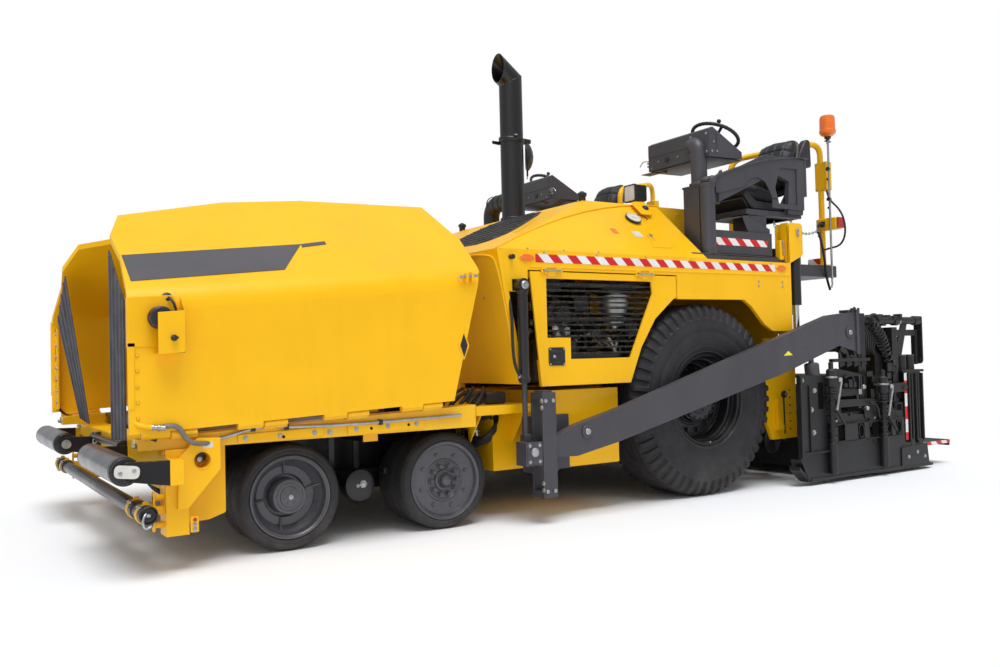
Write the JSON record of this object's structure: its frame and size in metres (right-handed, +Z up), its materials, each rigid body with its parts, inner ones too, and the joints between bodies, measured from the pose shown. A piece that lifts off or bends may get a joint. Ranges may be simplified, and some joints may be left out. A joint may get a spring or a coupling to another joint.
{
  "type": "wheeled asphalt paver",
  "caption": "Wheeled asphalt paver: raised folding hopper wings and push rollers in front, engine body with twin operator stations, tow arms and a heavy screed behind.",
  "frame": {"origin": "on the ground, under the middle of the machine's length and width", "axes": "+X forwards to the hopper and push rollers, +Y to the machine's left, +Z up"},
  "size_m": [6.78, 3.05, 3.44],
  "materials": {
    "frame_paint": "satin black paint",
    "yellow_paint": "gloss yellow paint, weathered",
    "grey_paint": "satin dark grey paint",
    "worn_steel": "worn plain steel",
    "roller_steel": "dull steel",
    "chrome_rod": "polished",
    "bogie_tyre": "solid rubber",
    "drive_tyre": "worn tread rubber",
    "rim_paint": "dark grey paint",
    "seat_vinyl": "black vinyl",
    "wheel_plastic": "textured",
    "engine_grey": "dusty",
    "intake_plastic": "moulded"
  },
  "bodies": {
    "machine": {"main_frame": "yellow_paint", "front_beam": "yellow_paint", "hitch_bar": "frame_paint", "hopper_floor": "worn_steel", "bogie_beams": "frame_paint", "drive_hubs": "frame_paint", "side_panel_left": "yellow_paint", "side_panel_right": "yellow_paint", "front_wall": "yellow_paint", "hood": "yellow_paint", "rear_wall": "yellow_paint", "side_tanks": "yellow_paint", "engine_block": "engine_grey", "deck": "grey_paint", "guard_rails": "yellow_paint", "lift_posts": "yellow_paint", "exhaust_stack": "frame_paint", "air_intake": "intake_plastic", "beacon_mast": "grey_paint", "pivot_posts": "grey_paint", "tow_guides": "worn_steel", "tow_cylinders": "frame_paint", "lift_cylinders": "frame_paint"},
    "tow_points": {"tow_points": "worn_steel"},
    "screed": {"tow_arms": "grey_paint", "screed_frame": "frame_paint", "screed_extensions": "frame_paint", "end_gates": "frame_paint"},
    "lift_rods": {"lift_rods": "chrome_rod"},
    "walkway": {"walkway": "grey_paint"},
    "auger": {"auger": "worn_steel"},
    "hood_hatch": {"hood_hatch": "yellow_paint"},
    "wing_left": {"wing_left": "yellow_paint"},
    "push_roller_left": {"push_roller_left": "roller_steel"},
    "bogie_front_knuckle_left": {"bogie_front_knuckle_left": "frame_paint"},
    "bogie_front_wheel_left": {"bogie_front_wheel_left": "bogie_tyre"},
    "bogie_rear_knuckle_left": {"bogie_rear_knuckle_left": "frame_paint"},
    "bogie_rear_wheel_left": {"bogie_rear_wheel_left": "bogie_tyre"},
    "drive_wheel_left": {"drive_rim_left": "rim_paint", "drive_tyre_left": "drive_tyre"},
    "side_door_left": {"side_door_left": "yellow_paint"},
    "station_left": {"station_left": "grey_paint", "console_left": "grey_paint", "seat_cushion_left": "seat_vinyl"},
    "steering_wheel_left": {"steering_wheel_left": "wheel_plastic"},
    "wing_right": {"wing_right": "yellow_paint"},
    "push_roller_right": {"push_roller_right": "roller_steel"},
    "bogie_front_knuckle_right": {"bogie_front_knuckle_right": "frame_paint"},
    "bogie_front_wheel_right": {"bogie_front_wheel_right": "bogie_tyre"},
    "bogie_rear_knuckle_right": {"bogie_rear_knuckle_right": "frame_paint"},
    "bogie_rear_wheel_right": {"bogie_rear_wheel_right": "bogie_tyre"},
    "drive_wheel_right": {"drive_rim_right": "rim_paint", "drive_tyre_right": "drive_tyre"},
    "side_door_right": {"side_door_right": "yellow_paint"},
    "station_right": {"station_right": "grey_paint", "console_right": "grey_paint", "seat_cushion_right": "seat_vinyl"},
    "steering_wheel_right": {"steering_wheel_right": "wheel_plastic"}
  },
  "joints": [
    {"name": "wing_left_fold", "type": "hinge", "parent": "machine", "child": "wing_left", "pos_m": [3.29, 1.37, 0.668], "axis": [-0.999, 0, 0.0441], "range_deg": [0, 75]},
    {"name": "push_roller_left_spin", "type": "hinge", "parent": "machine", "child": "push_roller_left", "pos_m": [3.32, 0.96, 0.52], "axis": [0, 1, 0], "continuous": true},
    {"name": "bogie_front_left_steer", "type": "hinge", "parent": "machine", "child": "bogie_front_knuckle_left", "pos_m": [2.443, 1, 0.286], "axis": [0, 0, 1], "range_deg": [-15, 15]},
    {"name": "bogie_front_left_spin", "type": "hinge", "parent": "bogie_front_knuckle_left", "child": "bogie_front_wheel_left", "pos_m": [2.443, 1.1, 0.286], "axis": [0, 1, 0], "continuous": true},
    {"name": "bogie_rear_left_steer", "type": "hinge", "parent": "machine", "child": "bogie_rear_knuckle_left", "pos_m": [1.49, 1, 0.286], "axis": [0, 0, 1], "range_deg": [-11, 11]},
    {"name": "bogie_rear_left_spin", "type": "hinge", "parent": "bogie_rear_knuckle_left", "child": "bogie_rear_wheel_left", "pos_m": [1.49, 1.1, 0.286], "axis": [0, 1, 0], "continuous": true},
    {"name": "drive_wheel_left_spin", "type": "hinge", "parent": "machine", "child": "drive_wheel_left", "pos_m": [-0.54, 1.17, 0.674], "axis": [0, 1, 0], "continuous": true},
    {"name": "side_door_left_hinge", "type": "hinge", "parent": "machine", "child": "side_door_left", "pos_m": [0.36, 1.378, 1.53], "axis": [1, 0, 0], "range_deg": [0, 85]},
    {"name": "station_left_turn", "type": "hinge", "parent": "machine", "child": "station_left", "pos_m": [-0.685, 1.285, 1.8], "axis": [0, 0, -1], "range_deg": [0, 20]},
    {"name": "steering_wheel_left_turn", "type": "hinge", "parent": "station_left", "child": "steering_wheel_left", "pos_m": [-1, 1.08, 2.64], "axis": [-0.4226, 0, 0.9063], "range_deg": [-540, 540]},
    {"name": "wing_right_fold", "type": "hinge", "parent": "machine", "child": "wing_right", "pos_m": [3.29, -1.37, 0.668], "axis": [0.999, 0, -0.0441], "range_deg": [0, 75]},
    {"name": "push_roller_right_spin", "type": "hinge", "parent": "machine", "child": "push_roller_right", "pos_m": [3.32, -0.96, 0.52], "axis": [0, 1, 0], "continuous": true},
    {"name": "bogie_front_right_steer", "type": "hinge", "parent": "machine", "child": "bogie_front_knuckle_right", "pos_m": [2.443, -1, 0.286], "axis": [0, 0, 1], "range_deg": [-15, 15]},
    {"name": "bogie_front_right_spin", "type": "hinge", "parent": "bogie_front_knuckle_right", "child": "bogie_front_wheel_right", "pos_m": [2.443, -1.1, 0.286], "axis": [0, 1, 0], "continuous": true},
    {"name": "bogie_rear_right_steer", "type": "hinge", "parent": "machine", "child": "bogie_rear_knuckle_right", "pos_m": [1.49, -1, 0.286], "axis": [0, 0, 1], "range_deg": [-11, 11]},
    {"name": "bogie_rear_right_spin", "type": "hinge", "parent": "bogie_rear_knuckle_right", "child": "bogie_rear_wheel_right", "pos_m": [1.49, -1.1, 0.286], "axis": [0, 1, 0], "continuous": true},
    {"name": "drive_wheel_right_spin", "type": "hinge", "parent": "machine", "child": "drive_wheel_right", "pos_m": [-0.54, -1.17, 0.674], "axis": [0, 1, 0], "continuous": true},
    {"name": "side_door_right_hinge", "type": "hinge", "parent": "machine", "child": "side_door_right", "pos_m": [0.36, -1.378, 1.53], "axis": [-1, 0, 0], "range_deg": [0, 85]},
    {"name": "station_right_turn", "type": "hinge", "parent": "machine", "child": "station_right", "pos_m": [-0.685, -1.285, 1.8], "axis": [0, 0, 1], "range_deg": [0, 20]},
    {"name": "steering_wheel_right_turn", "type": "hinge", "parent": "station_right", "child": "steering_wheel_right", "pos_m": [-1, -1.08, 2.64], "axis": [-0.4226, 0, 0.9063], "range_deg": [-540, 540]},
    {"name": "hood_hatch_hinge", "type": "hinge", "parent": "machine", "child": "hood_hatch", "pos_m": [-0.58, 0, 2.124], "axis": [0, -1, 0], "range_deg": [0, 70]},
    {"name": "tow_point_lift", "type": "slide", "parent": "machine", "child": "tow_points", "axis": [0, 0, 1], "range_m": [-0.03, 0.1]},
    {"name": "screed_lift", "type": "hinge", "parent": "tow_points", "child": "screed", "pos_m": [1.04, 0, 0.43], "axis": [0, 1, 0], "range_deg": [-0.5, 3.8]},
    {"name": "lift_rod_slide", "type": "slide", "parent": "tow_points", "child": "lift_rods", "axis": [0, 0, 1], "range_m": [-0.03, 0.18]},
    {"name": "walkway_fold", "type": "hinge", "parent": "screed", "child": "walkway", "pos_m": [-2.892, 0, 0.19], "axis": [0, 1, 0], "range_deg": [0, 80]},
    {"name": "auger_spin", "type": "hinge", "parent": "machine", "child": "auger", "pos_m": [-1.64, 0, 0.33], "axis": [0, 1, 0], "continuous": true}
  ],
  "couplings": [
    {"joint": "bogie_front_right_steer", "follows": "bogie_front_left_steer", "ratio": 1},
    {"joint": "bogie_rear_left_steer", "follows": "bogie_front_left_steer", "ratio": 0.68},
    {"joint": "bogie_rear_right_steer", "follows": "bogie_front_left_steer", "ratio": 0.68},
    {"joint": "lift_rod_slide", "follows": "screed_lift", "m_per_rad": 2.63}
  ]
}
